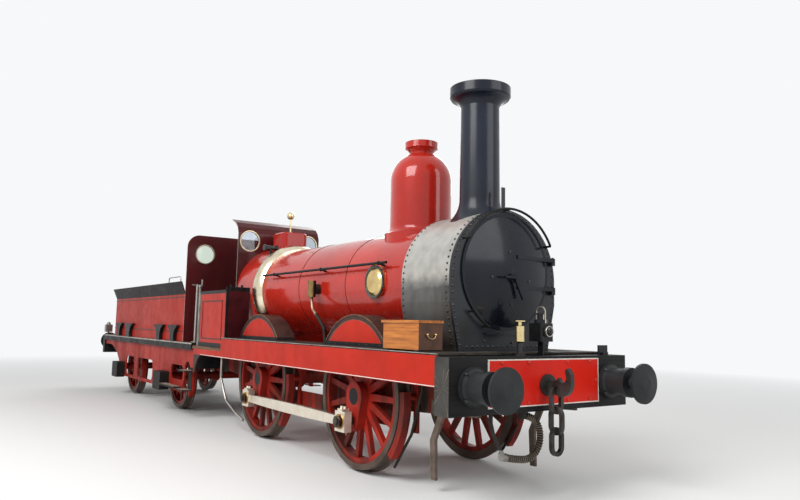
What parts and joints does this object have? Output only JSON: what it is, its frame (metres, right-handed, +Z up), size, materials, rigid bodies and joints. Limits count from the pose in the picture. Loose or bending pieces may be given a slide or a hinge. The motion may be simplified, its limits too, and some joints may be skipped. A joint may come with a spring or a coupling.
{
  "type": "steam locomotive",
  "caption": "Small inside-cylinder tender locomotive with coupled driving wheels, tall chimney, dome, raised firebox and open cab, hinged to its tender.",
  "frame": {"origin": "middle of the locomotive's length and width, at floor level under the wheel flanges", "axes": "+X forward towards the smokebox, +Y to the driver's left, +Z up"},
  "size_m": [13.046, 2.44, 3.9538],
  "materials": {
    "beam_timber": "black paint over cracked timber",
    "plate_red": "bright red gloss paint with a white border",
    "engine_red": "polished vermilion red paint",
    "wheel_red": "red paint, oily",
    "maroon": "dark maroon paint",
    "tender_red": "faded red paint",
    "black": "satin black paint",
    "smokebox_black": "soft black heat-proof paint",
    "chimney_blue": "blue-black paint",
    "steel": "worn steel",
    "tyre_steel": "rusty brown-grey steel",
    "rod_steel": "cream polished rod",
    "brass": "polished brass",
    "iron": "dark cast iron",
    "chest_wood": "orange varnished wood",
    "floor_wood": "worn planks",
    "window": "clear glass",
    "hose_rubber": "ribbed black rubber"
  },
  "bodies": {
    "engine": {"backhead": "black", "beam_plate": "plate_red", "boiler": "engine_red", "brake_hose": "hose_rubber", "brake_pipe": "iron", "brakes": "wheel_red", "buffer_beam": "beam_timber", "cab_floor": "floor_wood", "cab_sides": "engine_red", "chimney": "chimney_blue", "coupling_chain": "iron", "cylinder_block": "black", "dome": "engine_red", "drag_beam": "black", "draw_hook": "iron", "feed_pipes": "black", "firebox": "engine_red", "firebox_band": "brass", "front_buffers": "iron", "handrails": "black", "lamp": "black", "lubricator": "brass", "main_frames": "black", "running_boards": "black", "safety_valve": "engine_red", "side_discs": "brass", "smokebox": "smokebox_black", "splashers": "engine_red", "tool_chest": "chest_wood", "valances": "engine_red", "weatherboard": "maroon", "weatherboard_glass": "window"},
    "smokebox_door": {"smokebox_door": "smokebox_black"},
    "fire_door": {"fire_door": "iron"},
    "chest_lid": {"chest_lid": "chest_wood"},
    "front_wheelset": {"front_wheels": "wheel_red", "front_tyres": "tyre_steel"},
    "rear_wheelset": {"rear_wheels": "wheel_red", "rear_tyres": "tyre_steel"},
    "coupling_rod_right": {"coupling_rod_right": "rod_steel"},
    "coupling_rod_left": {"coupling_rod_left": "rod_steel"},
    "tender": {"tender_axleboxes": "iron", "tender_beams": "black", "tender_buffers": "iron", "tender_coping": "black", "tender_deck": "black", "tender_fittings": "steel", "tender_frames": "tender_red", "tender_glass": "window", "tender_springs": "black", "tender_steps": "black", "tender_tank": "tender_red", "tender_weatherboard": "maroon"},
    "filler_lid": {"filler_lid": "black"},
    "tender_front_wheelset": {"tender_front_wheels": "wheel_red", "tender_front_tyres": "tyre_steel"},
    "tender_rear_wheelset": {"tender_rear_wheels": "wheel_red", "tender_rear_tyres": "tyre_steel"}
  },
  "joints": [
    {"name": "smokebox_door_hinge", "type": "hinge", "parent": "engine", "child": "smokebox_door", "pos_m": [5.621, 0.622, 2.033], "axis": [0, 0, 1], "range_deg": [0, 16]},
    {"name": "fire_door_hinge", "type": "hinge", "parent": "engine", "child": "fire_door", "pos_m": [0.462, 0.204, 1.588], "axis": [0, 0, -1], "range_deg": [0, 95]},
    {"name": "chest_lid_hinge", "type": "hinge", "parent": "engine", "child": "chest_lid", "pos_m": [5.3375, -0.78, 1.526], "axis": [-1, 0, 0], "range_deg": [0, 95]},
    {"name": "front_axle", "type": "hinge", "parent": "engine", "child": "front_wheelset", "pos_m": [4.262, 0, 0.7645], "axis": [0, 1, 0], "continuous": true},
    {"name": "rear_axle", "type": "hinge", "parent": "engine", "child": "rear_wheelset", "pos_m": [1.85, 0, 0.7645], "axis": [0, 1, 0], "continuous": true},
    {"name": "coupling_rod_right_pin", "type": "hinge", "parent": "front_wheelset", "child": "coupling_rod_right", "pos_m": [4.24047, -0.97, 0.51844], "axis": [0, 1, 0], "continuous": true},
    {"name": "coupling_rod_left_pin", "type": "hinge", "parent": "front_wheelset", "child": "coupling_rod_left", "pos_m": [4.50806, 0.97, 0.74297], "axis": [0, 1, 0], "continuous": true},
    {"name": "tender_pivot", "type": "hinge", "parent": "engine", "child": "tender", "pos_m": [-0.01, 0, 0.878], "axis": [0, 0, 1], "range_deg": [-3, 3]},
    {"name": "filler_lid_hinge", "type": "hinge", "parent": "tender", "child": "filler_lid", "pos_m": [-4.879, 0, 2.048], "axis": [0, -1, 0], "range_deg": [0, 95]},
    {"name": "tender_front_axle", "type": "hinge", "parent": "tender", "child": "tender_front_wheelset", "pos_m": [-1.5, 0, 0.558], "axis": [0, 1, 0], "continuous": true},
    {"name": "tender_rear_axle", "type": "hinge", "parent": "tender", "child": "tender_rear_wheelset", "pos_m": [-4.4, 0, 0.558], "axis": [0, 1, 0], "continuous": true}
  ],
  "couplings": [
    {"joint": "rear_axle", "follows": "front_axle", "ratio": 1},
    {"joint": "coupling_rod_right_pin", "follows": "front_axle", "ratio": -1},
    {"joint": "coupling_rod_left_pin", "follows": "front_axle", "ratio": -1}
  ]
}
